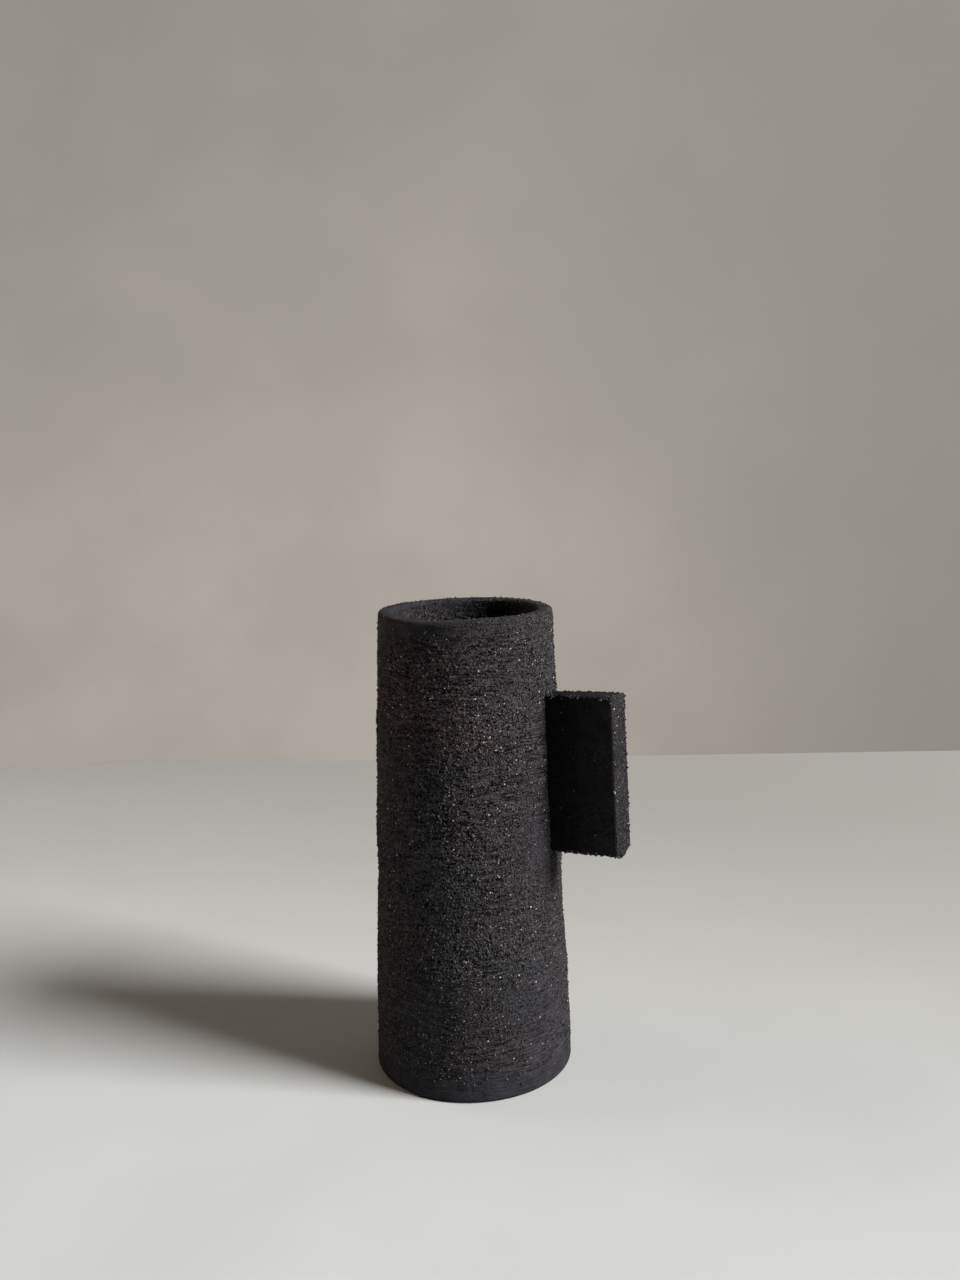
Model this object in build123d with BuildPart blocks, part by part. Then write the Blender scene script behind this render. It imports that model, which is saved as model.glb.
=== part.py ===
"""Hand-built stoneware vase: a tapered clay tube on a floor disc, with one slab fin luted to its side.

Millimetres. The origin is the centre of the underside and +Z is up. The fin stands out along +X.
Each piece of clay that the potter joins is its own solid, with the slip between them as thin
solids of their own. Nothing moves: the fired pieces are one rigid body.
"""
from build123d import *

import math
import os

# --- driving dimensions -----------------------------------------------------------------------
foot_radius = 45.0          # outer radius of the tube where it meets the ground
rim_radius = 38.3           # outer radius of the tube at the mouth
vase_height = 211.0
wall_thickness = 6.5        # measured level, from the rim down to the floor
rim_round = 1.6             # softened edges of the mouth

floor_thickness = 8.0
foot_round = 1.6            # softened lower edge of the floor disc

slip_thickness = 0.6        # the layer of liquid clay that lutes two pieces together
seam_coil_size = 5.0        # the coil pressed into the inside corner, along floor and wall

fin_reach = 72.4            # from the vase's axis to the middle of the fin's outer edge
fin_height = 70.0
fin_thickness = 9.8
fin_middle = 139.1          # height of the fin's middle, on the vase's axis
fin_rise = 2.3              # degrees; the fin stands square to the leaning wall, so it lifts
fin_end_skew = 17.5         # degrees; the outer edge is sliced off square
fin_edge_round = 0.7        # the knife-cut edges, rubbed down

# --- places worked out from them --------------------------------------------------------------
taper = (foot_radius - rim_radius) / vase_height      # how far the wall leans in per millimetre
wall_foot = floor_thickness + slip_thickness          # the wall stands on the slip
cutter_overrun = 20.0                                 # how far the cones run past the fin


def outer_radius(height):
    """Outer radius of the tube at a height."""
    return foot_radius - taper * height


def inner_radius(height):
    """Radius of the hollow at a height."""
    return outer_radius(height) - wall_thickness


def cone_section(spread, low, high):
    """Corner points of the solid cone that lies `spread` outside the tube's outer face."""
    return [
        (0, low),
        (outer_radius(low) + spread, low),
        (outer_radius(high) + spread, high),
        (0, high),
    ]


def finish(part, name):
    """Label a finished piece and write it out."""
    part.label = name
    export_step(part, f"parts/{name}.step")
    print(f"{name}: {part.volume / 1000:.1f} cm3, valid {part.is_valid}")


os.makedirs("parts", exist_ok=True)

# --- floor disc: the slab that closes the foot ------------------------------------------------
with BuildPart() as floor_disc:
    with BuildSketch(Plane.XZ):
        with BuildLine():
            Polyline(
                (0, 0),
                (foot_radius, 0),
                (outer_radius(floor_thickness), floor_thickness),
                (0, floor_thickness),
                close=True,
            )
        make_face()
    revolve(axis=Axis.Z)
    fillet(floor_disc.edges().group_by(Axis.Z)[0].filter_by(GeomType.CIRCLE), radius=foot_round)

# --- floor slip: the ring of slip that the wall stands on -------------------------------------
with BuildPart() as floor_slip:
    with BuildSketch(Plane.XZ):
        with BuildLine():
            Polyline(
                (inner_radius(floor_thickness), floor_thickness),
                (outer_radius(floor_thickness), floor_thickness),
                (outer_radius(wall_foot), wall_foot),
                (inner_radius(wall_foot), wall_foot),
                close=True,
            )
        make_face()
    revolve(axis=Axis.Z)

# --- wall: the tapered tube --------------------------------------------------------------------
with BuildPart() as wall:
    with BuildSketch(Plane.XZ):
        with BuildLine():
            Polyline(
                (inner_radius(wall_foot), wall_foot),
                (outer_radius(wall_foot), wall_foot),
                (rim_radius, vase_height),
                (rim_radius - wall_thickness, vase_height),
                close=True,
            )
        make_face()
    revolve(axis=Axis.Z)
    fillet(wall.edges().group_by(Axis.Z)[-1], radius=rim_round)

# --- seam coil: pressed into the inside corner to seal floor to wall ---------------------------
coil_top = floor_thickness + seam_coil_size
coil_toe = inner_radius(floor_thickness) - seam_coil_size
with BuildPart() as floor_seam_coil:
    with BuildSketch(Plane.XZ):
        with BuildLine():
            Polyline(
                (coil_toe, floor_thickness),
                (inner_radius(floor_thickness), floor_thickness),
                (inner_radius(coil_top), coil_top),
            )
            SagittaArc(
                (inner_radius(coil_top), coil_top),
                (coil_toe, floor_thickness),
                seam_coil_size * 0.2,
            )
        make_face()
    revolve(axis=Axis.Z)

# --- fin: a slab whose inner end is cut to the wall's curve, less the slip ----------------------
fin_plane = Plane(
    origin=(0, 0, fin_middle),
    x_dir=(math.cos(math.radians(fin_rise)), 0, math.sin(math.radians(fin_rise))),
    z_dir=(-math.sin(math.radians(fin_rise)), 0, math.cos(math.radians(fin_rise))),
)
fin_underside = fin_plane.offset(-fin_height / 2)
end_shift = fin_thickness / 2 * math.tan(math.radians(fin_end_skew))
blank_start = inner_radius(fin_middle)                # inside the wall, and cut away
slab_outline = [
    (blank_start, -fin_thickness / 2),
    (fin_reach - end_shift, -fin_thickness / 2),
    (fin_reach + end_shift, fin_thickness / 2),
    (blank_start, fin_thickness / 2),
]
cone_low = fin_middle - fin_height / 2 - cutter_overrun
cone_high = fin_middle + fin_height / 2 + cutter_overrun

with BuildPart() as fin:
    with BuildSketch(fin_underside):
        with BuildLine():
            Polyline(*slab_outline, close=True)
        make_face()
    extrude(amount=fin_height)
    inner_end = fin.faces().sort_by(Axis.X)[0]
    fillet(fin.edges() - inner_end.edges(), radius=fin_edge_round)
    with BuildSketch(Plane.XZ):
        with BuildLine():
            Polyline(*cone_section(slip_thickness, cone_low, cone_high), close=True)
        make_face()
    revolve(axis=Axis.Z, mode=Mode.SUBTRACT)

# --- fin slip: the curved pad of slip between the wall and the fin ------------------------------
with BuildPart() as fin_slip:
    with BuildSketch(fin_underside):
        with BuildLine():
            Polyline(*slab_outline, close=True)
        make_face()
    extrude(amount=fin_height)
    with BuildSketch(Plane.XZ):
        with BuildLine():
            Polyline(*cone_section(slip_thickness, cone_low, cone_high), close=True)
        make_face()
    revolve(axis=Axis.Z, mode=Mode.INTERSECT)
    with BuildSketch(Plane.XZ):
        with BuildLine():
            Polyline(*cone_section(0, cone_low, cone_high), close=True)
        make_face()
    revolve(axis=Axis.Z, mode=Mode.SUBTRACT)

finish(floor_disc.part, "floor_disc")
finish(floor_slip.part, "floor_slip")
finish(wall.part, "wall")
finish(floor_seam_coil.part, "floor_seam_coil")
finish(fin.part, "fin")
finish(fin_slip.part, "fin_slip")
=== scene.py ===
"""A hand-built vase in black grogged stoneware, unglazed, with one slab fin luted to its side.

Metres, +Z up, in the CAD frame: the vase stands on the origin and its fin points along +X.
"""

import math

import bmesh
import bpy
import numpy as np
from mathutils import Matrix, Vector


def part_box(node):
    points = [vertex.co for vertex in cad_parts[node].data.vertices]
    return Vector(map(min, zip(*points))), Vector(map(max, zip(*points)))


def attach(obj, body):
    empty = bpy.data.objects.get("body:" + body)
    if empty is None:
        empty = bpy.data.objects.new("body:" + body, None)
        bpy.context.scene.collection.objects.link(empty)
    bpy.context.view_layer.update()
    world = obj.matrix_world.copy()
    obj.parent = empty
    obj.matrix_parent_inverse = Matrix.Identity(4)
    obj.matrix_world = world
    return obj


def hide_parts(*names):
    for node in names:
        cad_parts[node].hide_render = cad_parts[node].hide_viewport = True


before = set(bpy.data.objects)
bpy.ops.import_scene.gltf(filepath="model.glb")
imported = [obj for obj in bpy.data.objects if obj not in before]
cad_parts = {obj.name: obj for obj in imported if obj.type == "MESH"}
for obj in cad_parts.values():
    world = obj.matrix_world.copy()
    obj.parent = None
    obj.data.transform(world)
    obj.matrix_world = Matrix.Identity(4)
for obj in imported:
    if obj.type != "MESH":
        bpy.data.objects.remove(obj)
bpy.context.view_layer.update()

MM = 0.001

# --- sizes read from the CAD frame ----------------------------------------------------------------
wall_low, wall_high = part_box("wall")
disc_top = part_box("floor_disc")[1].z
coil_low, coil_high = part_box("floor_seam_coil")
fin_low, fin_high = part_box("fin")
fin_slip_low, fin_slip_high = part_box("fin_slip")


def cad_radius(node, low, high):
    """Largest distance from the vase's axis among a CAD node's points between two heights."""
    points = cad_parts[node].data.vertices
    return max(math.hypot(p.co.x, p.co.y) for p in points if low <= p.co.z <= high)


RIM_ROUND = 1.6 * MM                    # the CAD rim's rounding, above which its side face ends
mouth = wall_high.z
foot_joint = wall_low.z
radius_low = cad_radius("wall", foot_joint, foot_joint + 1 * MM)
radius_high = cad_radius("wall", mouth - 3 * MM, mouth - 1 * MM)
taper = (radius_low - radius_high) / (mouth - RIM_ROUND - foot_joint)
wall_thickness = radius_low - cad_radius("floor_seam_coil", disc_top - MM, coil_high.z)


def outer_radius(height):
    """Radius of the tube's outer face at a height, before the hand's unevenness."""
    return radius_low - taper * (height - foot_joint)


# --- the hand's unevenness ------------------------------------------------------------------------
# Each swell or dip: direction in degrees round the axis, height, spread in degrees, spread in height, size.
SWELLS = [
    (210, 111 * MM, 38, 13 * MM, 0.75 * MM),
    (210, 181 * MM, 40, 12 * MM, -0.40 * MM),
    (210, 21 * MM, 40, 10 * MM, -0.30 * MM),
    (20, 80 * MM, 36, 14 * MM, -0.60 * MM),
    (20, 45 * MM, 30, 9 * MM, 0.45 * MM),
    (20, 17 * MM, 36, 9 * MM, 0.45 * MM),
    (20, 176 * MM, 26, 7 * MM, 0.45 * MM),
    (20, 207 * MM, 30, 6 * MM, 0.35 * MM),
    (120, 150 * MM, 45, 24 * MM, 0.60 * MM),
    (100, 60 * MM, 40, 22 * MM, -0.50 * MM),
    (300, 70 * MM, 40, 26 * MM, -0.40 * MM),
    (285, 165 * MM, 35, 20 * MM, 0.40 * MM),
    (160, 30 * MM, 40, 16 * MM, 0.40 * MM),
]
# Where the rib tore the clay and left it coarse (over zero), or closed it smooth (under zero):
# direction in degrees, height, spread in degrees, spread in height, strength.
COARSE_PATCHES = [
    (270, 190 * MM, 36, 11 * MM, 0.60),
    (313, 156 * MM, 24, 12 * MM, 0.55),
    (291, 122 * MM, 30, 17 * MM, 0.40),
    (293, 96 * MM, 20, 11 * MM, 0.35),
    (292, 66 * MM, 27, 11 * MM, 0.60),
    (341, 112 * MM, 22, 20 * MM, -0.40),
    (267, 42 * MM, 24, 14 * MM, -0.35),
    (339, 40 * MM, 28, 20 * MM, -0.35),
    (60, 150 * MM, 40, 18 * MM, 0.45),
    (95, 70 * MM, 35, 20 * MM, 0.40),
    (130, 110 * MM, 30, 25 * MM, -0.35),
    (170, 180 * MM, 45, 14 * MM, 0.45),
    (200, 75 * MM, 40, 22 * MM, 0.40),
    (225, 140 * MM, 25, 20 * MM, -0.30),
]
# Where the fire left the clay brown, and one patch of painted light: direction in degrees, height, spreads
# and strength as above.
BROWN_AND_PAINTED_LIGHT_PATCHES = [
    (268, 181 * MM, 30, 19 * MM, 0.9),
    (290, 160 * MM, 30, 13 * MM, 0.6),
    (236, 211 * MM, 15, 3 * MM, 0.7),
    # Painted light: this patch lightens the vase's upper left, standing in for a fill from above left.
    (232, 178 * MM, 22, 20 * MM, 0.3),
    (90, 120 * MM, 50, 40 * MM, 0.5),
    (180, 60 * MM, 40, 30 * MM, 0.4),
]
# The mouth isn't quite level: direction, spread in degrees, rise or dip.
RIM_WAVES = [(265, 34, -0.8 * MM), (310, 26, 0.5 * MM), (60, 40, 0.4 * MM), (160, 36, -0.3 * MM)]


def turn_between(angle, centre_degrees):
    """Degrees from a direction to each angle in radians, the short way round."""
    return (np.degrees(angle) - centre_degrees + 180) % 360 - 180


def patches(angle, height, places):
    """The sum, at each point, of soft patches given as direction, height, two spreads and strength."""
    total = np.zeros_like(angle)
    for centre, middle, width, reach, strength in places:
        near = (turn_between(angle, centre) / width) ** 2 + ((height - middle) / reach) ** 2
        total = total + strength * np.exp(-near)
    return total


def unevenness(angle, height):
    """How far the tube's faces stand out from the true cone."""
    out = 0.25 * MM * np.sin(2 * angle + 40 * height) + 0.15 * MM * np.sin(3 * angle - 70 * height + 1)
    return out + patches(angle, height, SWELLS)


def rim_wave(angle):
    """How far the mouth rises or dips round its edge."""
    out = np.zeros_like(angle)
    for centre, width, size in RIM_WAVES:
        out = out + size * np.exp(-(turn_between(angle, centre) / width) ** 2)
    return out


# --- mesh helpers ---------------------------------------------------------------------------------
def linked(name, data):
    """A new object of this name in the scene, at the origin."""
    thing = bpy.data.objects.new(name, data)
    bpy.context.scene.collection.objects.link(thing)
    return thing


def give_values(mesh, name, amounts):
    """Put a number on each point of a mesh, under a name."""
    layer = mesh.attributes.new(name, "FLOAT", "POINT")
    layer.data.foreach_set("value", amounts.ravel().astype(np.float32))


def mesh_object(name, points, faces, values):
    """An object at the origin from point and quad arrays, with named values on its points."""
    mesh = bpy.data.meshes.new(name)
    mesh.from_pydata(points.reshape(-1, 3).tolist(), [], faces.reshape(-1, 4).tolist())
    for attribute, amounts in values.items():
        give_values(mesh, attribute, amounts)
    return linked(name, mesh)


def weld(piece):
    """Merge the points that lie on each other, as at a disc's centre or along a slab's arrises."""
    shape = bmesh.new()
    shape.from_mesh(piece.data)
    bmesh.ops.remove_doubles(shape, verts=shape.verts, dist=0.001 * MM)
    bmesh.ops.recalc_face_normals(shape, faces=shape.faces)
    shape.to_mesh(piece.data)
    shape.free()


def coarseness(angle, height):
    """How much grog stands out: a little more going up, and least where the lip and foot were wiped."""
    wiped_lip = 0.75 * np.exp(-((mouth - height) / (14 * MM)) ** 2 - (turn_between(angle, 235) / 50) ** 2)
    wiped_lip += 0.35 * np.exp(-((mouth - height) / (8 * MM)) ** 2)
    wiped_foot = 0.55 * np.exp(-(height / (14 * MM)) ** 2)
    torn = patches(angle, height, COARSE_PATCHES)
    higher = 0.2 * (height / mouth - 0.5)
    return np.clip(0.8 + higher + torn - wiped_lip - wiped_foot, 0.1, 1.4)


def turned(name, profile, columns, closed=True):
    """A ring or disc turned about the axis from (radius, height, freedom) points.

    The profile runs up the outside and down the inside. Freedom is how far the clay's texture may
    move a point: little where the piece meets its neighbour or the ground.
    """
    profile = np.array(profile, float)
    rows = len(profile)
    angle, row = np.meshgrid(np.linspace(0, 2 * math.pi, columns, endpoint=False), np.arange(rows))
    radius, height, freedom = (profile[row, i] for i in range(3))
    near_lip = np.clip((height - mouth + 12 * MM) / (12 * MM), 0, 1)
    height = height + rim_wave(angle) * near_lip
    off_centre = np.clip(radius / (30 * MM), 0, 1)
    radius = radius + unevenness(angle, height) * off_centre
    points = np.stack([radius * np.cos(angle), radius * np.sin(angle), height], -1)
    bands = rows if closed else rows - 1
    low, left = np.meshgrid(np.arange(bands), np.arange(columns), indexing="ij")
    high, right = (low + 1) % rows, (left + 1) % columns
    corners = [(low, left), (low, right), (high, right), (high, left)]
    faces = np.stack([row_of * columns + column for row_of, column in corners], -1)
    inside = radius < outer_radius(height) - wall_thickness / 2
    grit = coarseness(angle, height) * np.where(inside, 0.9, 1.0)
    brown = np.clip(patches(angle, height, BROWN_AND_PAINTED_LIGHT_PATCHES), 0, 1)
    piece = mesh_object(name, points, faces, {"grit": grit, "freedom": freedom, "brown": brown})
    if not closed:
        weld(piece)
    return piece


def quarter_turn(centre_radius, centre_height, radius, start_degrees, steps, freedom):
    """Profile points round a quarter circle, from a start direction, anticlockwise."""
    turns = [math.radians(start_degrees + 90 * i / steps) for i in range(steps + 1)]
    return [
        (centre_radius + radius * math.cos(t), centre_height + radius * math.sin(t), freedom) for t in turns
    ]


def spread(start, end, steps, ease=1.0):
    """Numbers from start to end, closer together near start when ease is over 1."""
    return [start + (end - start) * (i / steps) ** ease for i in range(steps + 1)]


# --- geometry nodes -------------------------------------------------------------------------------
RIB_LENGTH = 26 * MM                    # how far a drag line runs round the wall
GRAIN_TO_LUMP = 0.16                    # a grain's width in lump widths
PIT_SPACING = 5.5 * MM


def fill_sockets(tree, node, inputs):
    """Give a node's sockets values or links. A node given as a value stands for its first live output."""
    for socket, value in inputs.items():
        if isinstance(value, bpy.types.Node):
            value = next(output for output in value.outputs if output.enabled)
        if isinstance(value, bpy.types.NodeSocket):
            tree.links.new(value, node.inputs[socket])
        else:
            node.inputs[socket].default_value = value


def add(tree, kind, inputs=None, **settings):
    """Add a node: settings are its properties, and inputs give its sockets values or links."""
    node = tree.nodes.new(kind)
    for key, value in settings.items():
        setattr(node, key, value)
    fill_sockets(tree, node, inputs or {})
    return node


def new_tree(name, sockets):
    """A geometry node tree with named inputs. Returns the tree and its input node's sockets."""
    tree = bpy.data.node_groups.new(name, "GeometryNodeTree")
    tree.interface.new_socket("Clay", in_out="INPUT", socket_type="NodeSocketGeometry")
    for label, kind in sockets.items():
        tree.interface.new_socket(label, in_out="INPUT", socket_type="NodeSocket" + kind)
    tree.interface.new_socket("Clay", in_out="OUTPUT", socket_type="NodeSocketGeometry")
    return tree, add(tree, "NodeGroupInput").outputs


def worked_clay_tree():
    """Gives a smooth clay blank its drag lines, lumps, grain and pits, along its own normals."""
    tree, given = new_tree(
        "worked_clay",
        {
            "Rib Depth": "Float",
            "Rib Spacing": "Float",
            "Grain Depth": "Float",
            "Grain Size": "Float",
            "Pit Depth": "Float",
            "Seed": "Float",
            "Finish": "Material",
        },
    )
    place = add(tree, "GeometryNodeInputPosition")
    grit = add(tree, "GeometryNodeInputNamedAttribute", {"Name": "grit"}, data_type="FLOAT")
    freedom = add(tree, "GeometryNodeInputNamedAttribute", {"Name": "freedom"}, data_type="FLOAT")

    # Drag lines are fine up the wall and long round it.
    up = add(tree, "ShaderNodeMath", {0: 1.0, 1: given["Rib Spacing"]}, operation="DIVIDE")
    stretch = add(tree, "ShaderNodeCombineXYZ", {"X": 1 / RIB_LENGTH, "Y": 1 / RIB_LENGTH, "Z": up})
    rib_place = add(tree, "ShaderNodeVectorMath", {0: place, 1: stretch}, operation="MULTIPLY")

    # Lumps are some six grains wide, and grain is at the scale of the grog.
    lump_scale = add(tree, "ShaderNodeMath", {0: GRAIN_TO_LUMP, 1: given["Grain Size"]}, operation="DIVIDE")
    lump_place = add(tree, "ShaderNodeVectorMath", {0: place, "Scale": lump_scale}, operation="SCALE")
    grain_scale = add(tree, "ShaderNodeMath", {0: 1.0, 1: given["Grain Size"]}, operation="DIVIDE")
    grain_place = add(tree, "ShaderNodeVectorMath", {0: place, "Scale": grain_scale}, operation="SCALE")
    grain_depth = add(tree, "ShaderNodeMath", {0: given["Grain Depth"], 1: grit}, operation="MULTIPLY")

    relief = 0.0
    for where, detail, roughness, depth in (
        (rib_place, 2.0, 0.6, given["Rib Depth"]),
        (lump_place, 2.0, 0.5, given["Grain Depth"]),
        (grain_place, 3.0, 0.7, grain_depth),
    ):
        waves = add(
            tree,
            "ShaderNodeTexNoise",
            {"Vector": where, "W": given["Seed"], "Scale": 1.0, "Detail": detail, "Roughness": roughness},
            noise_dimensions="4D",
        )
        centred = add(tree, "ShaderNodeMath", {0: waves, 1: 0.5}, operation="SUBTRACT")
        relief = add(tree, "ShaderNodeMath", {0: centred, 1: depth, 2: relief}, operation="MULTIPLY_ADD")

    # Pits where a coarse grain dragged out, one to a cell of the pattern.
    pit_place = add(tree, "ShaderNodeVectorMath", {0: place, "Scale": 1 / PIT_SPACING}, operation="SCALE")
    from_pit = add(tree, "ShaderNodeTexVoronoi", {"Vector": pit_place, "W": given["Seed"], "Scale": 1.0},
                   voronoi_dimensions="4D")
    pit = add(
        tree,
        "ShaderNodeMapRange",
        {"Value": from_pit, "From Min": 0.10, "From Max": 0.24, "To Min": -1.0, "To Max": 0.0},
        interpolation_type="SMOOTHSTEP",
    )
    pit_depth = add(tree, "ShaderNodeMath", {0: given["Pit Depth"], 1: grit}, operation="MULTIPLY")
    relief = add(tree, "ShaderNodeMath", {0: pit, 1: pit_depth, 2: relief}, operation="MULTIPLY_ADD")

    relief = add(tree, "ShaderNodeMath", {0: relief, 1: freedom}, operation="MULTIPLY")
    normal = add(tree, "GeometryNodeInputNormal")
    offset = add(tree, "ShaderNodeVectorMath", {0: normal, "Scale": relief}, operation="SCALE")
    moved = add(tree, "GeometryNodeSetPosition", {"Geometry": given["Clay"], "Offset": offset})
    finished = add(tree, "GeometryNodeSetMaterial", {"Geometry": moved, "Material": given["Finish"]})
    add(tree, "NodeGroupOutput", {0: finished})
    return tree


def grog_tree():
    """Sets angular grains into a clay surface, some standing proud and some nearly flush."""
    tree, given = new_tree(
        "grog",
        {
            "Grains per Square Metre": "Float",
            "Smallest": "Float",
            "Largest": "Float",
            "Sink": "Float",
            "Facets": "Int",
            "Patch Size": "Float",
            "Mask": "String",
            "Lowest": "Float",
            "Highest": "Float",
            "Seed": "Int",
            "Finish": "Material",
        },
    )

    # Grains lie in patches, between two heights, and thickest where the mask is high. Each random draw
    # has a seed of its own, worked out from the given one.
    place = add(tree, "GeometryNodeInputPosition")
    patch_seed = add(tree, "ShaderNodeMath", {0: given["Seed"], 1: 1.7}, operation="MULTIPLY")
    patch_scale = add(tree, "ShaderNodeMath", {0: 1.0, 1: given["Patch Size"]}, operation="DIVIDE")
    patch_noise = add(tree, "ShaderNodeTexNoise",
                      {"Vector": place, "W": patch_seed, "Scale": patch_scale, "Detail": 2.0},
                      noise_dimensions="4D")
    patchy = add(tree, "ShaderNodeMapRange",
                 {"Value": patch_noise, "From Min": 0.35, "From Max": 0.65, "To Min": 0.25, "To Max": 1.6})
    height = add(tree, "ShaderNodeSeparateXYZ", {0: place}).outputs["Z"]
    above = add(tree, "ShaderNodeMath", {0: height, 1: given["Lowest"]}, operation="GREATER_THAN")
    below = add(tree, "ShaderNodeMath", {0: height, 1: given["Highest"]}, operation="LESS_THAN")
    mask = add(tree, "GeometryNodeInputNamedAttribute", {"Name": given["Mask"]}, data_type="FLOAT")
    density = add(tree, "ShaderNodeMath", {0: mask, 1: 1.5}, operation="POWER")
    for share in (patchy, above, below, given["Grains per Square Metre"]):
        density = add(tree, "ShaderNodeMath", {0: density, 1: share}, operation="MULTIPLY")
    scatter = add(
        tree,
        "GeometryNodeDistributePointsOnFaces",
        {"Mesh": given["Clay"], "Density": density, "Seed": given["Seed"]},
        distribute_method="RANDOM",
    )

    # Each grain is an angular chip of random width, proportions and turn, and most are small.
    chance = add(tree, "FunctionNodeRandomValue", {2: 0.0, 3: 1.0, "Seed": given["Seed"]}, data_type="FLOAT")
    chance = add(tree, "ShaderNodeMath", {0: chance, 1: 2.2}, operation="POWER")
    span = add(tree, "ShaderNodeMath", {0: given["Largest"], 1: given["Smallest"]}, operation="SUBTRACT")
    width = add(tree, "ShaderNodeMath", {0: chance, 1: span, 2: given["Smallest"]}, operation="MULTIPLY_ADD")
    shape_seed = add(tree, "ShaderNodeMath", {0: given["Seed"], 1: 11.0}, operation="ADD")
    shape = add(tree, "FunctionNodeRandomValue",
                {0: (0.7, 0.7, 0.7), 1: (1.3, 1.3, 1.3), "Seed": shape_seed}, data_type="FLOAT_VECTOR")
    size = add(tree, "ShaderNodeVectorMath", {0: shape, "Scale": width}, operation="SCALE")
    turn_seed = add(tree, "ShaderNodeMath", {0: given["Seed"], 1: 23.0}, operation="ADD")
    turn = add(tree, "FunctionNodeRandomValue",
               {0: (0.0, 0.0, 0.0), 1: (6.283, 6.283, 6.283), "Seed": turn_seed}, data_type="FLOAT_VECTOR")
    chip = add(tree, "GeometryNodeMeshUVSphere", {"Segments": given["Facets"], "Rings": 2, "Radius": 0.5})

    # It sinks into the clay by a share of its own width.
    depth = add(tree, "ShaderNodeMath", {0: width, 1: given["Sink"]}, operation="MULTIPLY")
    depth = add(tree, "ShaderNodeMath", {0: depth, 1: -1.0}, operation="MULTIPLY")
    outward = scatter.outputs["Normal"]
    sink = add(tree, "ShaderNodeVectorMath", {0: outward, "Scale": depth}, operation="SCALE")
    bedded = add(tree, "GeometryNodeSetPosition", {"Geometry": scatter.outputs["Points"], "Offset": sink})
    grains = add(tree, "GeometryNodeInstanceOnPoints",
                 {"Points": bedded, "Instance": chip, "Rotation": turn, "Scale": size})
    real = add(tree, "GeometryNodeRealizeInstances", {"Geometry": grains})
    finished = add(tree, "GeometryNodeSetMaterial", {"Geometry": real, "Material": given["Finish"]})
    add(tree, "NodeGroupOutput", {0: finished})
    return tree


def apply_tree(piece, tree, sizes):
    """Run a node tree on a piece with named sizes, and keep the result as its plain mesh."""
    modifier = piece.modifiers.new(tree.name, "NODES")
    modifier.node_group = tree
    for item in tree.interface.items_tree:
        if item.in_out == "INPUT" and item.name in sizes:
            modifier[item.identifier] = sizes[item.name]
    bpy.context.view_layer.update()
    shaped = piece.evaluated_get(bpy.context.evaluated_depsgraph_get())
    mesh = bpy.data.meshes.new_from_object(shaped)
    mesh.name = piece.name
    piece.modifiers.clear()
    piece.data = mesh
    return piece


def smooth(piece, crease_degrees=50):
    """Smooth shading, with a crease kept where faces turn sharply."""
    piece.data.shade_smooth()
    piece.data.set_sharp_from_angle(angle=math.radians(crease_degrees))


# --- finishes -------------------------------------------------------------------------------------
def srgb(code):
    """A linear colour from an sRGB hex code."""
    parts = [int(code[i:i + 2], 16) / 255 for i in (1, 3, 5)]
    return (*(p / 12.92 if p <= 0.04045 else ((p + 0.055) / 1.055) ** 2.4 for p in parts), 1.0)


def new_finish(name, **constants):
    """A material with its shader's constant values set. Returns it, its tree, shader and object place."""
    material = bpy.data.materials.new(name)
    material.use_nodes = True
    tree = material.node_tree
    shader = tree.nodes["Principled BSDF"]
    for socket, value in constants.items():
        shader.inputs[socket.replace("_", " ")].default_value = value
    place = add(tree, "ShaderNodeTexCoord").outputs["Object"]
    return material, tree, shader, place


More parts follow.
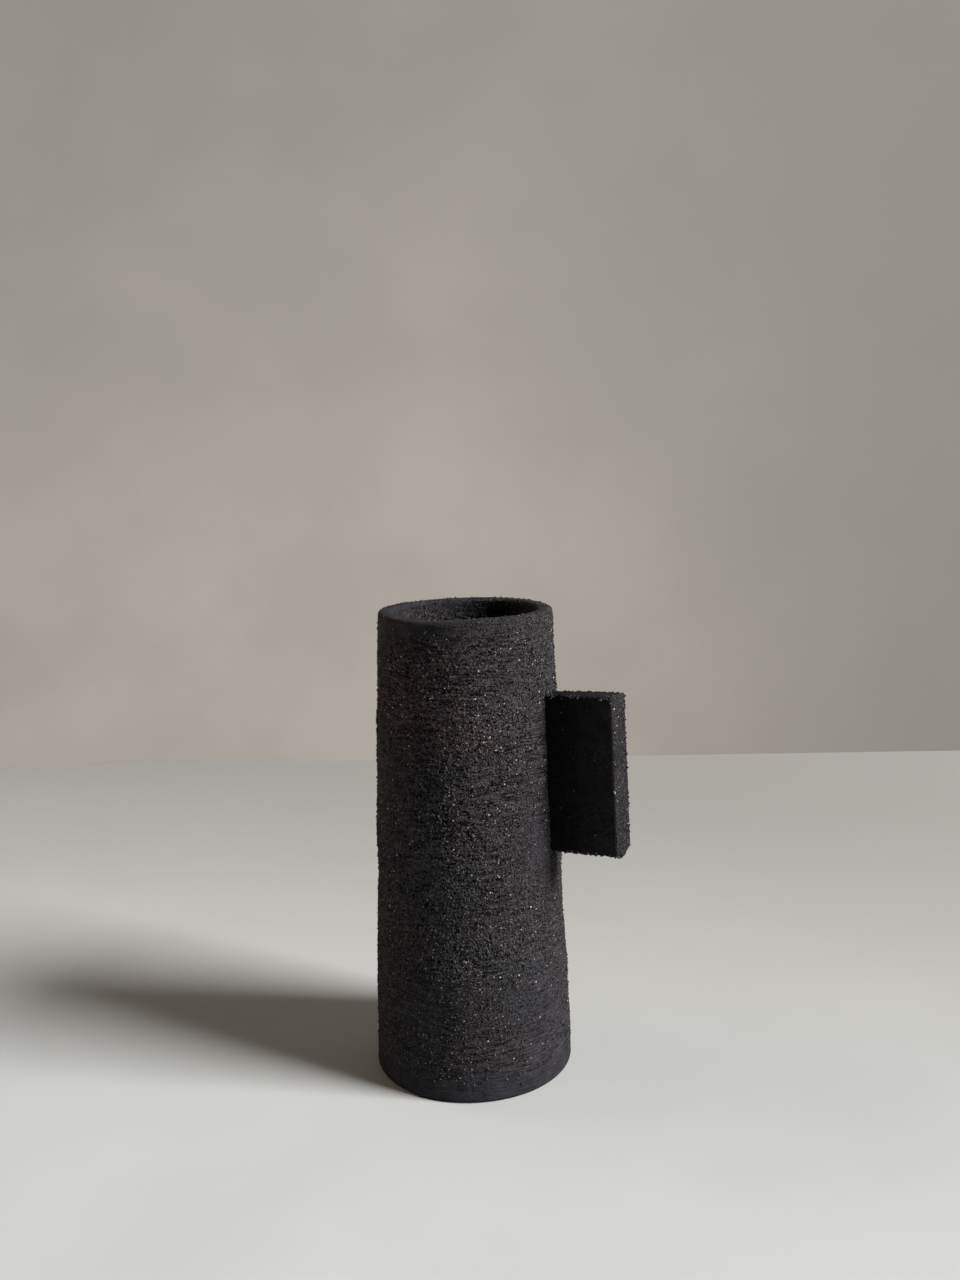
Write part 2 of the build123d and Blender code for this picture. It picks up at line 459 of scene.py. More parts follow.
def grogged_stoneware(name, drag=1.0, rolled=False):
    """Black stoneware fired bare: dead matt, sooty charcoal, cool where the fire reduced it and brown
    where it didn't, with fine drag lines and pale flecks of fired grog. Painted shade darkens its pinholes,
    the gaps between its grains and, on the rolled fin, the corner by the wall."""
    material, tree, shader, place = new_finish(name, Roughness=0.95, Specular_IOR_Level=0.08)
    grit = add(tree, "ShaderNodeAttribute", attribute_name="grit").outputs["Fac"]
    brown = add(tree, "ShaderNodeAttribute", attribute_name="brown").outputs["Fac"]

    # Clouds of the fire, bluer where the clay was closed smooth, and a darker mottle.
    clouds = add(tree, "ShaderNodeTexNoise", {"Vector": place, "Scale": 1 / (38 * MM), "Detail": 3.0})
    cloudy = add(tree, "ShaderNodeMapRange", {"Value": clouds, "From Min": 0.35, "From Max": 0.68},
                 interpolation_type="SMOOTHSTEP")
    closed = add(tree, "ShaderNodeMapRange",
                 {"Value": grit, "From Min": 0.3, "From Max": 0.7, "To Min": 1.0, "To Max": 0.0},
                 interpolation_type="SMOOTHSTEP")
    mottle = add(tree, "ShaderNodeTexNoise",
                 {"Vector": place, "Scale": 1 / (6 * MM), "Detail": 3.0, "Roughness": 0.6})
    mottled = add(tree, "ShaderNodeMapRange", {"Value": mottle, "From Min": 0.35, "From Max": 0.75},
                  interpolation_type="SMOOTHSTEP")
    colour = srgb("#2d2c2f")
    for amount, tone in ((cloudy, "#2e2b2c"), (closed, "#2f2e32"), (brown, "#3c2f2f"), (mottled, "#232224")):
        colour = add(tree, "ShaderNodeMix", {0: amount, 6: colour, 7: srgb(tone)}, data_type="RGBA")

    # Tone of the grains and the gaps between them, deepest where the rib tore the clay. It follows the grain
    # bump's own height: part is the clay's random tone, and part is painted shade in the low gaps and painted
    # light on the grain tops.
    torn = add(tree, "ShaderNodeTexNoise", {"Vector": place, "Scale": 1 / (26 * MM), "Detail": 1.0})
    ribbing = add(tree, "ShaderNodeMapRange", {"Value": torn, "From Min": 0.42, "From Max": 0.60},
                  interpolation_type="SMOOTHSTEP")
    grain = add(tree, "ShaderNodeTexNoise",
                {"Vector": place, "Scale": 1 / (0.75 * MM), "Detail": 2.0, "Roughness": 0.65})
    grain_tone_and_gap_shade = add(tree, "ShaderNodeMapRange",
                     {"Value": grain, "From Min": 0.36, "From Max": 0.64, "To Min": -1.15, "To Max": 1.6},
                     interpolation_type="SMOOTHSTEP")
    grain_depth = add(tree, "ShaderNodeMath", {0: ribbing, 1: -0.35, 2: 1.1}, operation="MULTIPLY_ADD")
    grain_depth = add(tree, "ShaderNodeMath", {0: grit, 1: grain_depth}, operation="MULTIPLY")
    grain_tone_and_gap_shade = add(tree, "ShaderNodeMath", {0: grain_tone_and_gap_shade, 1: grain_depth}, operation="MULTIPLY")

    # The rib's drag lines are ten times as long as they are high, and wander a little on their way round.
    wander = add(tree, "ShaderNodeTexNoise", {"Vector": place, "Scale": 1 / (30 * MM), "Detail": 1.0})
    wander = add(tree, "ShaderNodeMath", {0: wander, 1: 0.5}, operation="SUBTRACT")
    wander = add(tree, "ShaderNodeMath", {0: wander, 1: 9 * MM}, operation="MULTIPLY")
    lifted = add(tree, "ShaderNodeCombineXYZ", {"Z": wander})
    ribbed = add(tree, "ShaderNodeVectorMath", {0: place, 1: lifted}, operation="ADD")
    drawn_out = add(tree, "ShaderNodeVectorMath", {0: ribbed, 1: (0.1, 0.1, 1)}, operation="MULTIPLY")
    drag_lines = add(tree, "ShaderNodeTexNoise",
                     {"Vector": drawn_out, "Scale": 1 / (0.9 * MM), "Detail": 2.0, "Roughness": 0.6})
    contrast = 0.8 * drag
    drag_tone = add(
        tree,
        "ShaderNodeMapRange",
        {"Value": drag_lines, "From Min": 0.36, "From Max": 0.64, "To Min": -contrast, "To Max": contrast},
        interpolation_type="SMOOTHSTEP",
    )
    drag_depth = add(tree, "ShaderNodeMath", {0: ribbing, 1: 0.9, 2: 0.35}, operation="MULTIPLY_ADD")
    open_clay = add(tree, "ShaderNodeMath", {0: grit, 1: 1.0}, operation="MINIMUM")
    drag_depth = add(tree, "ShaderNodeMath", {0: drag_depth, 1: open_clay}, operation="MULTIPLY")
    drag_tone = add(tree, "ShaderNodeMath", {0: drag_tone, 1: drag_depth}, operation="MULTIPLY")

    tone = add(tree, "ShaderNodeMath", {0: grain_tone_and_gap_shade, 1: drag_tone}, operation="ADD")
    tone = add(tree, "ShaderNodeMath", {0: tone, 1: 1.0}, operation="ADD")
    tone = add(tree, "ShaderNodeMath", {0: tone, 1: 0.05}, operation="MAXIMUM")
    colour = add(tree, "ShaderNodeVectorMath", {0: colour, "Scale": tone}, operation="SCALE")
    openness = [grit]
    if rolled:
        # The roller closed the slab's faces, so they are darker than its sliced end, which stayed open.
        # On top of that, painted shade darkens the faces most in the corner by the wall, fading out towards
        # the fin's outer end.
        cut = add(tree, "ShaderNodeAttribute", attribute_name="cut").outputs["Fac"]
        openness.append(cut)
        outward = add(tree, "ShaderNodeSeparateXYZ", {0: place}).outputs["X"]
        painted_corner_shade = add(
            tree,
            "ShaderNodeMapRange",
            {"Value": outward, "From Min": outer_radius(fin_low.z), "From Max": fin_high.x - 3 * MM,
             "To Min": 0.10, "To Max": 0.58},
            interpolation_type="SMOOTHSTEP",
        )
        skin = add(tree, "ShaderNodeMapRange", {"Value": cut, "To Min": painted_corner_shade, "To Max": 0.86},
                   interpolation_type="SMOOTHSTEP")
        colour = add(tree, "ShaderNodeVectorMath", {0: colour, "Scale": skin}, operation="SCALE")

    # Flecks of pale grog flush with the surface, most of them under a millimetre across.
    flecks = add(tree, "ShaderNodeTexVoronoi", {"Vector": place, "Scale": 1 / (1.7 * MM)})
    fleck_size = add(
        tree,
        "ShaderNodeMapRange",
        {"Value": flecks.outputs["Color"], "From Min": 0.5, "From Max": 1.0, "To Min": 0.0, "To Max": 0.30},
        interpolation_type="SMOOTHSTEP",
    )
    for share in openness:
        fleck_size = add(tree, "ShaderNodeMath", {0: fleck_size, 1: share}, operation="MULTIPLY")
    fleck = add(tree, "ShaderNodeMath", {0: flecks, 1: fleck_size}, operation="LESS_THAN")
    colour = add(tree, "ShaderNodeMix", {0: fleck, 6: colour, 7: srgb("#9c9290")}, data_type="RGBA")

    # Pits left by grains that pulled out, drawn long by the rib and of many sizes. Their bump is real relief,
    # and their near-black colour is painted shade inside them.
    flattened = add(tree, "ShaderNodeVectorMath", {0: place, 1: (0.6, 0.6, 1)}, operation="MULTIPLY")
    pits = add(tree, "ShaderNodeTexVoronoi", {"Vector": flattened, "Scale": 1 / (1.7 * MM)})
    pit_size = add(
        tree,
        "ShaderNodeMapRange",
        {"Value": pits.outputs["Color"], "From Min": 0.2, "From Max": 1.0, "To Min": 0.04, "To Max": 0.34},
        interpolation_type="SMOOTHSTEP",
    )
    pit_size = add(tree, "ShaderNodeMath", {0: pit_size, 1: grit}, operation="MULTIPLY")
    pit_edge = add(tree, "ShaderNodeMath", {0: pit_size, 1: pits}, operation="SUBTRACT")
    pinhole_with_painted_shade = add(tree, "ShaderNodeMapRange", {"Value": pit_edge, "From Min": -0.05, "From Max": 0.05},
                  interpolation_type="SMOOTHSTEP")
    colour = add(tree, "ShaderNodeMix", {0: pinhole_with_painted_shade, 6: colour, 7: srgb("#040404")}, data_type="RGBA")

    grain_relief = add(tree, "ShaderNodeMath", {0: grain, 1: grit}, operation="MULTIPLY")
    normal = add(tree, "ShaderNodeBump",
                 {"Strength": 0.9, "Distance": 0.28 * MM * drag, "Height": drag_lines})
    normal = add(tree, "ShaderNodeBump",
                 {"Strength": 1.0, "Distance": 0.8 * MM, "Height": grain_relief, "Normal": normal})
    normal = add(tree, "ShaderNodeBump",
                 {"Strength": 1.0, "Distance": -0.45 * MM, "Height": pinhole_with_painted_shade, "Normal": normal})
    fill_sockets(tree, shader, {"Base Color": colour, "Normal": normal})
    return material


def fired_grog(name, tones):
    """Crushed fired clay in the body: each chip dry and matt, in one of a few tones of fired brick."""
    material, tree, shader, place = new_finish(name, Roughness=0.9, Specular_IOR_Level=0.15)
    pick = add(tree, "ShaderNodeTexNoise", {"Vector": place, "Scale": 1 / (2.3 * MM), "Detail": 0.0})
    colour = add(tree, "ShaderNodeValToRGB", {"Fac": pick})
    stops = colour.color_ramp.elements
    stops[0].position, stops[1].position = 0.3, 0.7
    while len(stops) < len(tones):
        stops.new(0.5)
    for i, tone in enumerate(tones):
        stops[i].position = 0.34 + 0.32 * i / (len(tones) - 1)
        stops[i].color = srgb(tone)
    fill_sockets(tree, shader, {"Base Color": colour})
    return material


def plain_plaster(name, tone, worn_tone, painted_shade_tone, painted_shade_ways):
    """Limewashed plaster: matt and pale, with faint clouds from the brush, and painted shade that darkens it
    towards some sides where the set gets less light.

    Each way of painted shade is a direction, the distances along it where the shade starts and ends, and how
    much it darkens.
    """
    material, tree, shader, place = new_finish(name, Roughness=0.85, Specular_IOR_Level=0.2)
    clouds = add(tree, "ShaderNodeTexNoise", {"Vector": place, "Scale": 1 / (160 * MM), "Detail": 4.0})
    worn = add(tree, "ShaderNodeMapRange", {"Value": clouds, "From Min": 0.35, "From Max": 0.65},
               interpolation_type="SMOOTHSTEP")
    colour = add(tree, "ShaderNodeMix", {0: worn, 6: srgb(tone), 7: srgb(worn_tone)}, data_type="RGBA")
    for way, start, end, amount in painted_shade_ways:
        along = add(tree, "ShaderNodeVectorMath", {0: place, 1: way}, operation="DOT_PRODUCT")
        painted_shade = add(tree, "ShaderNodeMapRange",
                   {"Value": along, "From Min": start, "From Max": end, "To Max": amount},
                   interpolation_type="SMOOTHSTEP")
        colour = add(tree, "ShaderNodeMix", {0: painted_shade, 6: colour, 7: srgb(painted_shade_tone)}, data_type="RGBA")
    fill_sockets(tree, shader, {"Base Color": colour})
    return material


stoneware = grogged_stoneware("unglazed_grogged_black_stoneware")
smoother_stoneware = grogged_stoneware("unglazed_black_stoneware_wiped", drag=0.4)
rolled_stoneware = grogged_stoneware("unglazed_black_stoneware_rolled", drag=0.0, rolled=True)
pale_grog = fired_grog("fired_grog_pale", ["#827a78", "#ddd3cf", "#a5918c", "#fff8f4", "#b9aeab"])
blue_grog = fired_grog("fired_grog_blue", ["#76868c", "#98a7ab"])
dark_grit = fired_grog("fired_grog_dark", ["#151515", "#3f3d3d", "#242323", "#5e5a5a", "#2f2d2e"])

worked_clay = worked_clay_tree()
grog = grog_tree()

# --- the wall -------------------------------------------------------------------------------------
COLUMNS = 240                           # round the vase, about 1.1 mm apart
WALL_ROWS = 326                         # up its outer face, about 0.6 mm apart
INNER_ROWS = 62                         # down its inner face, closest near the mouth
LIP_ROUND = 1.8 * MM
lip_outer = outer_radius(mouth)
lip_inner = lip_outer - wall_thickness

wall_profile = [(outer_radius(z), z, 1.0) for z in spread(foot_joint, mouth - LIP_ROUND, WALL_ROWS)]
wall_profile[0] = (wall_profile[0][0], foot_joint, 0.5)
wall_profile += quarter_turn(lip_outer - LIP_ROUND, mouth - LIP_ROUND, LIP_ROUND, 0, 5, 1.0)[1:]
wall_profile += quarter_turn(lip_inner + LIP_ROUND, mouth - LIP_ROUND, LIP_ROUND, 90, 5, 1.0)
inner_heights = spread(mouth - LIP_ROUND, foot_joint, INNER_ROWS, ease=1.5)[1:]
wall_profile += [(outer_radius(z) - wall_thickness, z, 1.0) for z in inner_heights]
wall_profile[-1] = (*wall_profile[-1][:2], 0.2)
wall = turned("wall_tube", wall_profile, COLUMNS)
wall_texture = {
    "Rib Depth": 0.42 * MM,
    "Rib Spacing": 1.7 * MM,
    "Grain Depth": 0.55 * MM,
    "Grain Size": 2.0 * MM,
    "Pit Depth": 0.45 * MM,
    "Seed": 3.0,
    "Finish": stoneware,
}
apply_tree(wall, worked_clay, wall_texture)

# --- the floor disc, its slip and the seam coil ---------------------------------------------------
FOOT_ROUND = 1.8 * MM
disc_profile = [(r, 0, 0.0) for r in spread(0, outer_radius(0) - FOOT_ROUND, 20)]
disc_profile += quarter_turn(outer_radius(0) - FOOT_ROUND, FOOT_ROUND, FOOT_ROUND, -90, 5, 0.5)[1:]
disc_profile += [(outer_radius(z), z, 1.0) for z in spread(FOOT_ROUND, disc_top, 11)[1:]]
disc_profile[-1] = (*disc_profile[-1][:2], 0.5)
disc_profile += [(r, disc_top, 0.5) for r in spread(outer_radius(disc_top), 0, 34)[1:]]
disc = turned("floor_disc_clay", disc_profile, COLUMNS, closed=False)
disc_texture = {
    "Rib Depth": 0.30 * MM,
    "Rib Spacing": 1.7 * MM,
    "Grain Depth": 0.40 * MM,
    "Grain Size": 2.0 * MM,
    "Pit Depth": 0.3 * MM,
    "Seed": 3.0,
    "Finish": stoneware,
}
apply_tree(disc, worked_clay, disc_texture)

slip_out, slip_in = outer_radius(disc_top), outer_radius(disc_top) - wall_thickness
slip_profile = [(slip_out, disc_top, 0.5), (slip_out, foot_joint, 0.5)]
slip_profile += [(slip_in, foot_joint, 0.2), (slip_in, disc_top, 0.2)]
floor_slip = turned("floor_joint_slip", slip_profile, COLUMNS)
apply_tree(floor_slip, worked_clay, {**disc_texture, "Finish": smoother_stoneware})

coil_size = coil_high.z - coil_low.z
coil_toe = cad_radius("floor_seam_coil", coil_low.z, coil_low.z + 0.1 * MM) - coil_size
coil_profile = [(coil_toe, disc_top, 0.3), (slip_in, disc_top, 0.2), (slip_in, coil_high.z, 0.3)]
COIL_HOLLOW = 0.56                      # how deep a finger pressed its face hollow, as a share of its size
for along in spread(0, 1, 10)[1:-1]:
    pressed = COIL_HOLLOW * along * (1 - along) * coil_size
    coil_profile.append((
        slip_in + (coil_toe - slip_in) * along + pressed,
        coil_high.z + (disc_top - coil_high.z) * along - pressed,
        1.0,
    ))
coil = turned("seam_coil_pressed", coil_profile, 200)
apply_tree(coil, worked_clay, {**disc_texture, "Grain Depth": 0.8 * MM, "Grain Size": 3.0 * MM})

# --- the fin --------------------------------------------------------------------------------------
FIN_RISE = math.radians(2.3)            # the fin stands nearly square to the leaning wall
FIN_END_SKEW = math.radians(17.5)       # its outer end is sliced off at a slant
FIN_ARRIS = 0.8 * MM
FIN_BURIED = 0.7 * MM                   # how far its inner end sits in the wall's skin
LOW_CORNER_ROUND = 5 * MM               # the low outer corner is knocked off at its back
NEAR_CORNER_ROUND = 1.1 * MM            # and little more than softened elsewhere
BURR = 1.5 * MM                         # clay that the knife dragged down past the low end
BURR_REACH = 3.5 * MM
ROLLED_CUT = 0.12                       # how open the clay is: the sliced end is 1, the big faces are closed
SIDE_CUT = 0.3                          # and its top and bottom lie between

fin_half_thickness = (fin_high.y - fin_low.y) / 2
fin_half_height = (fin_slip_high.z - fin_slip_low.z) / 2
slip_middle = (fin_slip_low + fin_slip_high) / 2
fin_origin = Vector((0, 0, slip_middle.z - slip_middle.x * math.tan(FIN_RISE)))
fin_out = Vector((math.cos(FIN_RISE), 0, math.sin(FIN_RISE)))
fin_up = Vector((-math.sin(FIN_RISE), 0, math.cos(FIN_RISE)))
fin_tip = (fin_high.x - fin_half_height * math.sin(FIN_RISE)) / math.cos(FIN_RISE)
fin_reach = fin_tip - math.tan(FIN_END_SKEW) * (fin_half_thickness - FIN_ARRIS)
fin_root = outer_radius(fin_origin.z)
fin_length = fin_reach - fin_root


def slab(name, half, arris, step, edge_width, place):
    """A closed slab with rounded arrises: place puts (length, thickness, height) points in the frame."""
    half = np.array(half)
    counts = np.maximum(4, np.round(2 * half / step)).astype(int)
    all_points, all_faces, all_edges, all_cuts, start = [], [], [], [], 0
    for axis in range(3):
        u, v = (axis + 1) % 3, (axis + 2) % 3
        for side in (-1, 1):
            grid_u, grid_v = np.meshgrid(
                np.linspace(-half[u], half[u], counts[u] + 1),
                np.linspace(-half[v], half[v], counts[v] + 1),
                indexing="ij",
            )
            points = np.zeros(grid_u.shape + (3,))
            points[..., axis], points[..., u], points[..., v] = side * half[axis], grid_u, grid_v
            nearness = np.clip((np.abs(points) - (half - edge_width)) / edge_width, 0, 1)
            all_edges.append(np.sort(nearness, -1)[..., 1].ravel())
            openness = (side > 0, ROLLED_CUT, SIDE_CUT)[axis]
            all_cuts.append(np.full(grid_u.size, openness, float))
            core = np.clip(points, arris - half, half - arris)
            away = points - core
            points = core + arris * away / np.linalg.norm(away, axis=-1, keepdims=True)
            all_points.append(points.reshape(-1, 3))
            i, j = np.meshgrid(np.arange(counts[u]), np.arange(counts[v]), indexing="ij")
            row = counts[v] + 1
            corners = [i * row + j, (i + 1) * row + j, (i + 1) * row + j + 1, i * row + j + 1]
            all_faces.append(np.stack(corners, -1).reshape(-1, 4) + start)
            start += len(all_points[-1])
    points, edge, cut = place(np.concatenate(all_points)), np.concatenate(all_edges), np.concatenate(all_cuts)
    values = {"edge": edge, "cut": cut, "grit": 0.3 + 0.35 * cut, "freedom": np.ones_like(edge)}
    piece = mesh_object(name, points, np.concatenate(all_faces), values)
    weld(piece)
    return piece


def knock_off(length, height, corner_length, corner_height, radius):
    """Round one outer corner of the fin: a square of the radius's size becomes a quarter circle."""
    low = np.sign(corner_height)
    out, up = length - (corner_length - radius), low * (height - (corner_height - low * radius))
    inside = (out > 0) & (up > 0)
    reach = np.maximum(out, up) / np.maximum(np.hypot(out, up), 1e-9)
    out, up = np.where(inside, out * reach, out), np.where(inside, up * reach, up)
    return corner_length - radius + out, corner_height - low * radius + low * up


def in_frame(reach, across, up):
    """The fin's own reach from the axis, sideways place and height up its slope, in the frame."""
    side = np.stack([np.zeros_like(across), across, np.zeros_like(across)], -1)
    return np.array(fin_origin) + np.outer(reach, fin_out) + side + np.outer(up, fin_up)


def reach_of_wall(across, up):
    """Where the tube's outer face lies along the fin's own slope."""
    height = fin_origin.z + up * fin_up.z + fin_root * fin_out.z
    radius = outer_radius(height)
    radius = radius + unevenness(np.arcsin(across / radius), height)
    return (np.sqrt(radius ** 2 - across ** 2) - up * fin_up.x) / fin_out.x


def place_fin(points):
    """Carry the fin's own points into the frame, with its root on the tube and its end skewed."""
    length, across, up = points[:, 0] + fin_length / 2, points[:, 1], points[:, 2]
    to_back = (across / fin_half_thickness + 1) / 2
    low_round = NEAR_CORNER_ROUND + (LOW_CORNER_ROUND - NEAR_CORNER_ROUND) * to_back ** 3
    length, up = knock_off(length, up, fin_length, -fin_half_height, low_round)
    length, up = knock_off(length, up, fin_length, fin_half_height, NEAR_CORNER_ROUND)
    from_corner = ((fin_length - length) / BURR_REACH) ** 2 + ((fin_half_height + up) / BURR_REACH) ** 2
    up = up - BURR * np.exp(-from_corner - (2 * to_back - 1) ** 2 * 2.5)
    root = reach_of_wall(across, up) - FIN_BURIED
    end = fin_reach + across * math.tan(FIN_END_SKEW)
    return in_frame(root + (end - root) * length / fin_length, across, up)


fin = slab(
    "fin_slab",
    (fin_length / 2, fin_half_thickness, fin_half_height),
    arris=FIN_ARRIS,
    step=0.42 * MM,
    edge_width=2.2 * MM,
    place=place_fin,
)
# The near upright arris stayed crisp when the end was sliced, and the other arrises crumbled.
fin_edge = np.array([v.value for v in fin.data.attributes["edge"].data])
fin_points = np.array([v.co for v in fin.data.vertices])
from_middle = np.abs(fin_points[:, 2] - (fin_low.z + fin_high.z) / 2) / fin_half_height
to_top_or_bottom = (from_middle - 0.9) * 12
to_back = fin_points[:, 1] / fin_half_thickness
crumbly = fin_edge * np.clip(np.maximum(to_top_or_bottom, to_back), 0, 1)
give_values(fin.data, "crumbly", crumbly)
apply_tree(
    fin,
    worked_clay,
    {
        "Rib Depth": 0.05 * MM,
        "Rib Spacing": 2.4 * MM,
        "Grain Depth": 0.6 * MM,
        "Grain Size": 1.5 * MM,
        "Pit Depth": 0.35 * MM,
        "Seed": 8.0,
        "Finish": rolled_stoneware,
    },
)

# --- a chip of grog that the knife caught in the fin's near upright arris -------------------------
CHIP_UP = -6.4 * MM                     # from the middle of the fin's height
chip_shape = bmesh.new()
bmesh.ops.create_icosphere(chip_shape, subdivisions=1, radius=0.55 * MM)
chip_place = place_fin(np.array([[fin_length / 2, -fin_half_thickness, CHIP_UP]]))[0]
for point in chip_shape.verts:
    x, y, z = point.co
    point.co = Vector(chip_place) + Vector((x, 0.7 * y, 1.3 * z - 0.5 * x))
chip_mesh = bpy.data.meshes.new("pale_chip_on_fin_arris")
chip_shape.to_mesh(chip_mesh)
chip_shape.free()
chip_mesh.materials.append(blue_grog)
chip = linked("pale_chip_on_fin_arris", chip_mesh)

# --- the slip smeared into the corner round the fin's root ----------------------------------------
SLIP_BURIED = 0.75 * MM
COVE_TOP = 0.7 * MM                     # radius of the smear: small at the top, thumbed wider lower down
COVE_FOOT = 1.6 * MM
FEATHER = 0.3 * MM                      # how far the smear's thin rim sinks into the wall's skin


def place_slip(points):
    """Lay the pad of slip on the tube's curve under the fin's inner end, its rim a hollow curve."""
    depth, across, up = points[:, 0], points[:, 1], points[:, 2]
    cove = COVE_TOP + (COVE_FOOT - COVE_TOP) * np.clip(0.5 - up / (2 * fin_half_height), 0, 1)
    over_side = np.maximum(np.abs(across) - fin_half_thickness, 0) * cove / COVE_FOOT
    over_end = np.maximum(np.abs(up) - fin_half_height, 0) * cove / COVE_FOOT
    across = np.sign(across) * (np.minimum(np.abs(across), fin_half_thickness) + over_side)
    up = np.sign(up) * (np.minimum(np.abs(up), fin_half_height) + over_end)
    inward = cove - np.minimum(np.maximum(over_side, over_end), cove)
    rise = cove - np.sqrt(cove ** 2 - inward ** 2) - FEATHER
    depth = (depth / SLIP_BURIED + 1) / 2 * (SLIP_BURIED + rise) - SLIP_BURIED
    return in_frame(reach_of_wall(across, up) + depth, across, up)


fin_slip = slab(
    "fin_joint_slip",
    (SLIP_BURIED, fin_half_thickness + COVE_FOOT, fin_half_height + COVE_FOOT),
    arris=0.3 * MM,
    step=0.3 * MM,
    edge_width=1.5 * MM,
    place=place_slip,
)
apply_tree(fin_slip, worked_clay, {**wall_texture, "Finish": smoother_stoneware})

# --- the grog -------------------------------------------------------------------------------------
WHOLE = {"Lowest": -1.0, "Highest": 1.0}     # heights that take in the whole vase
coarse = {
    "Smallest": 0.5 * MM,
    "Largest": 1.6 * MM,
    "Sink": 0.08,
    "Facets": 4,
    "Patch Size": 18 * MM,
    "Mask": "grit",
    "Finish": dark_grit,
}
pale = {**coarse, "Facets": 5, "Sink": 0.25, "Smallest": 0.45 * MM, "Largest": 1.0 * MM, "Finish": pale_grog}
crumbs = {**coarse, "Sink": 0.0, "Largest": 1.8 * MM, "Mask": "crumbly"}


def grains_on(piece, name, kind, per_square_metre, seed, **changes):
    """A new piece: grains of one kind set into a piece's surface, all over it or where the changes say."""
    sizes = {**kind, **WHOLE, "Grains per Square Metre": per_square_metre, "Seed": seed, **changes}
    return apply_tree(linked(name, piece.data.copy()), grog, sizes)


# The wall's dark grit is made in four bands, so that each stays a light piece.
grains = [chip]
band_ends = [-1.0, 0.27 * mouth, 0.51 * mouth, 0.75 * mouth, 1.0]
for i, band in enumerate(("foot", "belly", "shoulder", "lip")):
    ends = {"Lowest": band_ends[i], "Highest": band_ends[i + 1]}
    grains.append(grains_on(wall, "grit_" + band, coarse, 900000, 11 + i, **ends))
grains += [
    grains_on(wall, "pale_grog_wall", pale, 33000, 3),
    grains_on(disc, "grit_floor_disc", coarse, 400000, 4, Lowest=1.2 * MM),    # none under the resting face
    grains_on(fin, "grit_fin", coarse, 400000, 5, Mask="cut"),
    grains_on(fin, "pale_grog_fin", pale, 30000, 6, Mask="cut"),
    grains_on(fin, "crumbs_on_fin_edges", crumbs, 2200000, 7),
]

# --- how each piece is shaded, what it rides on and what it stands for ----------------------------
for piece, node in ((wall, "wall"), (disc, "floor_disc"), (floor_slip, "floor_slip"),
                    (coil, "floor_seam_coil"), (fin, "fin"), (fin_slip, "fin_slip")):
    smooth(piece)
    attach(piece, "root")
    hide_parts(node)
for piece in grains:
    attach(piece, "root")

# --- camera ---------------------------------------------------------------------------------------
VIEW_TURN = math.radians(24.9)          # the camera stands this far round from -Y, towards the fin
CAMERA_DISTANCE = 507.2 * MM
CAMERA_HEIGHT = 282.1 * MM
CAMERA_RIGHT = 6.7 * MM
LOOK_DOWN = math.radians(9.57)
CAMERA_ROLL = math.radians(-1.2)


def from_view(right, away, up):
    """A point given to the right of the vase, away from the camera and up, in the frame."""
    return Matrix.Rotation(VIEW_TURN, 4, "Z") @ Vector((right, away, up))


camera_data = bpy.data.cameras.new("camera")
camera_data.sensor_fit = "VERTICAL"
camera_data.sensor_height = 36
camera_data.lens = 32.6
camera_data.clip_start = 0.01
camera = linked("camera", camera_data)
aim = Matrix.Rotation(VIEW_TURN, 4, "Z") @ Matrix.Rotation(math.pi / 2 - LOOK_DOWN, 4, "X")
camera.matrix_world = (
    Matrix.Translation(from_view(CAMERA_RIGHT, -CAMERA_DISTANCE, CAMERA_HEIGHT))
    @ aim
    @ Matrix.Rotation(CAMERA_ROLL, 4, "Z")
)
bpy.context.scene.camera = camera


# --- floor, backdrop and light --------------------------------------------------------------------
STAGE_HALF = 1.5


def sheet(name, near_edge, lay, finish):
    """A flat stage piece from its near or low edge to its far one, laid in the frame by a function."""
    half = STAGE_HALF
    corners = [(-half, near_edge), (half, near_edge), (half, half), (-half, half)]
    mesh = bpy.data.meshes.new(name)
    mesh.from_pydata([tuple(lay(*c)) for c in corners], [], [(0, 1, 2, 3)])
    mesh.materials.append(finish)
    linked(name, mesh)


BACKDROP_AWAY = 0.518
BACKDROP_TURN = math.tan(math.radians(1.1))     # its right side stands a little nearer
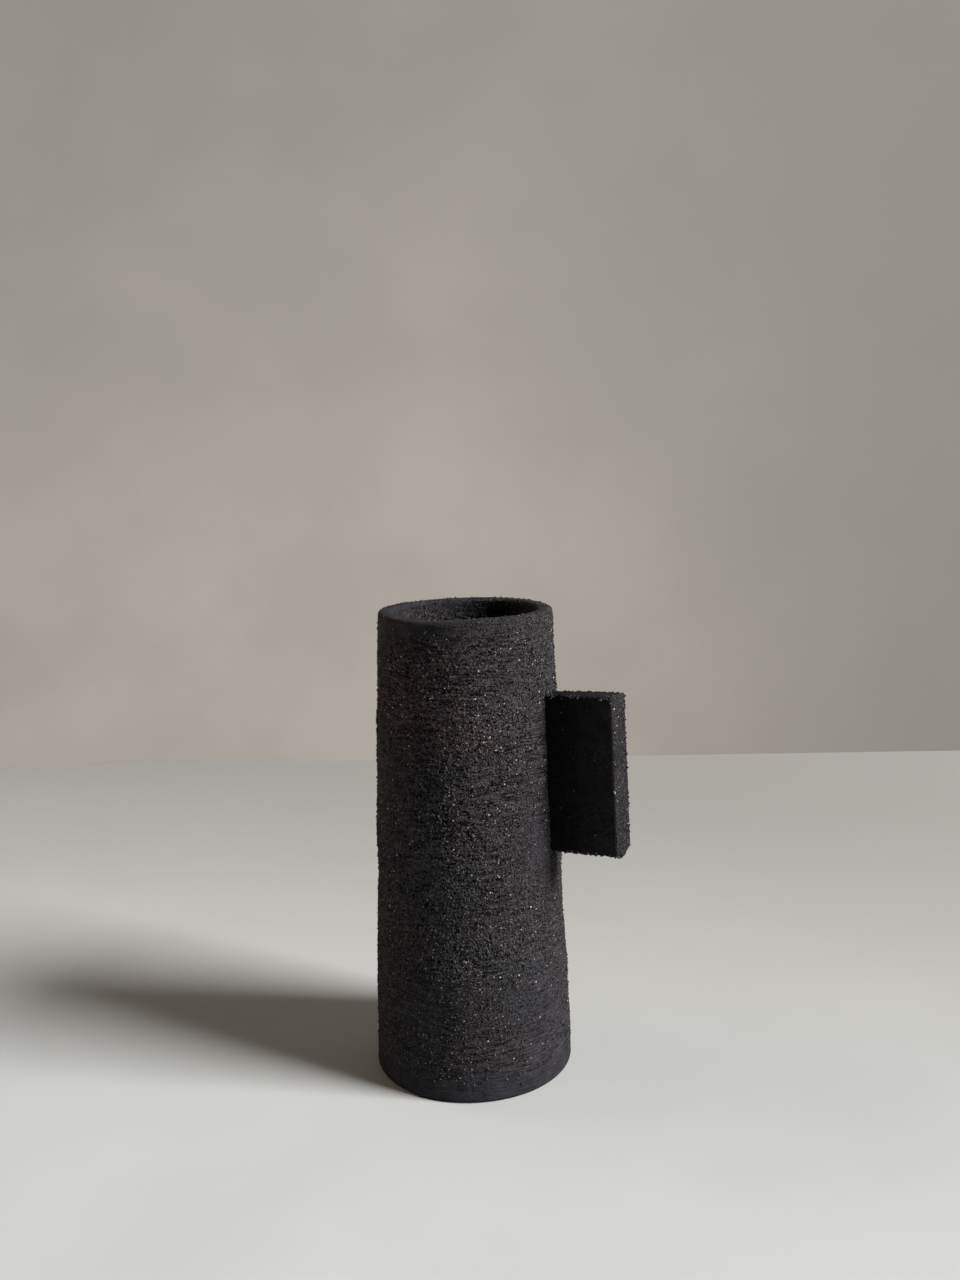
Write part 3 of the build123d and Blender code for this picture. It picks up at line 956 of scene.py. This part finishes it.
# Painted shade: the floor is painted darker towards the back, and the backdrop towards its right and its top,
# for the light falling off across the set.
floor_finish = plain_plaster(
    "pale_floor_plaster", "#bfc3c3", "#c5c9c9", "#959491", [(from_view(0.4, 1, 0), -0.35, 0.52, 1.0)]
)
backdrop_finish = plain_plaster(
    "backdrop_plaster", "#c1bbb4", "#b8b2ac", "#8d8985",
    [(from_view(1, 0, 0), -0.1, 0.45, 0.9), (Vector((0, 0, 1)), 0.0, 0.7, 0.62)],
)
sheet("studio_floor", -STAGE_HALF, lambda x, y: from_view(x, y, 0), floor_finish)
sheet(
    "studio_backdrop", -0.01, lambda x, z: from_view(x, BACKDROP_AWAY - x * BACKDROP_TURN, z), backdrop_finish
)


def soft_light(name, turn, rise, distance, width, height, power, tint, aim=0.5, spread_degrees=180):
    """A softbox aimed at part of the vase's height, with a grid when its spread is under 180 degrees.

    Turn is degrees forward of square right, seen from the camera.
    """
    turn, rise = math.radians(turn), math.radians(rise)
    level = distance * math.cos(rise)
    place = from_view(level * math.cos(turn), -level * math.sin(turn), distance * math.sin(rise))
    data = bpy.data.lights.new(name, "AREA")
    data.shape = "RECTANGLE"
    data.size, data.size_y = width, height
    data.energy = power
    data.spread = math.radians(spread_degrees)
    data.color = srgb(tint)[:3]
    lamp = linked(name, data)
    aim_at = Vector((0, 0, aim * mouth))
    facing = (aim_at - place).to_track_quat("-Z", "Y").to_matrix().to_4x4()
    lamp.matrix_world = Matrix.Translation(place) @ facing
    lamp.visible_camera = False


soft_light("window", turn=19.0, rise=35, distance=6.0, width=2.0, height=2.8, power=750, tint="#fffdfb")
soft_light(
    "left_fill", turn=202, rise=26, distance=0.8, width=0.4, height=0.4, power=0.29, tint="#ffe0c6",
    aim=1.0, spread_degrees=65,
)

# Dim air round the set, and a plain pale tone beyond the floor's edge.
world = bpy.data.worlds.new("studio_air")
world.use_nodes = True
air = world.node_tree.nodes["Background"]
air.inputs["Color"].default_value = srgb("#f2f0ee")
seen = add(world.node_tree, "ShaderNodeLightPath").outputs["Is Camera Ray"]
strength = add(world.node_tree, "ShaderNodeMapRange", {"Value": seen, "To Min": 0.01, "To Max": 0.40})
fill_sockets(world.node_tree, air, {"Strength": strength})
bpy.context.scene.world = world
bpy.context.scene.view_settings.view_transform = "Standard"
